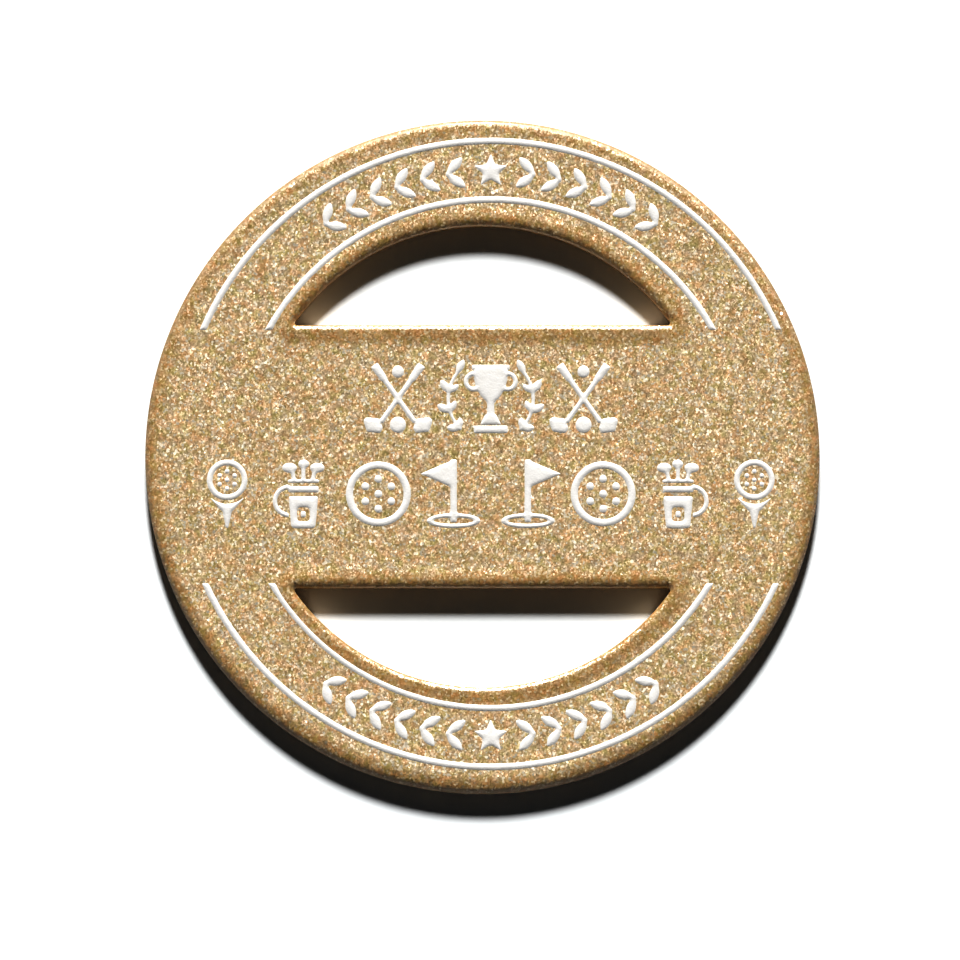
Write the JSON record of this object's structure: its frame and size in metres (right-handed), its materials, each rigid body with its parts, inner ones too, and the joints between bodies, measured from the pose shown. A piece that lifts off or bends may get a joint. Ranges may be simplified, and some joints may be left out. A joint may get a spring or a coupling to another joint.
{
  "type": "golf ball marker",
  "caption": "Flat round golf ball marker: a powder-coated steel disc with D-shaped windows above and below a cross bar, and raised printed arc lines, laurels and golf pictograms.",
  "frame": {"origin": "centre of the disc's underside", "axes": "+Z out of the printed face, +Y towards the top of the artwork, +X to its right"},
  "size_m": [0.04, 0.04, 0.0015],
  "materials": {
    "steel": "laser-cut mild steel, deburred",
    "gold_coat": "antique gold metallic powder coating with coarse flake",
    "white_ink": "thick UV-cured white ink, satin"
  },
  "bodies": {
    "root": {"steel_blank": "steel", "powder_coat": "gold_coat", "upper_outer_arc_line": "white_ink", "upper_inner_arc_line": "white_ink", "lower_outer_arc_line": "white_ink", "lower_inner_arc_line": "white_ink", "upper_laurel_band": "white_ink", "lower_laurel_band": "white_ink", "trophy_mark": "white_ink", "crossed_club_marks": "white_ink", "flag_marks": "white_ink", "ball_marks": "white_ink", "golf_bag_marks": "white_ink", "tee_marks": "white_ink"}
  },
  "joints": []
}
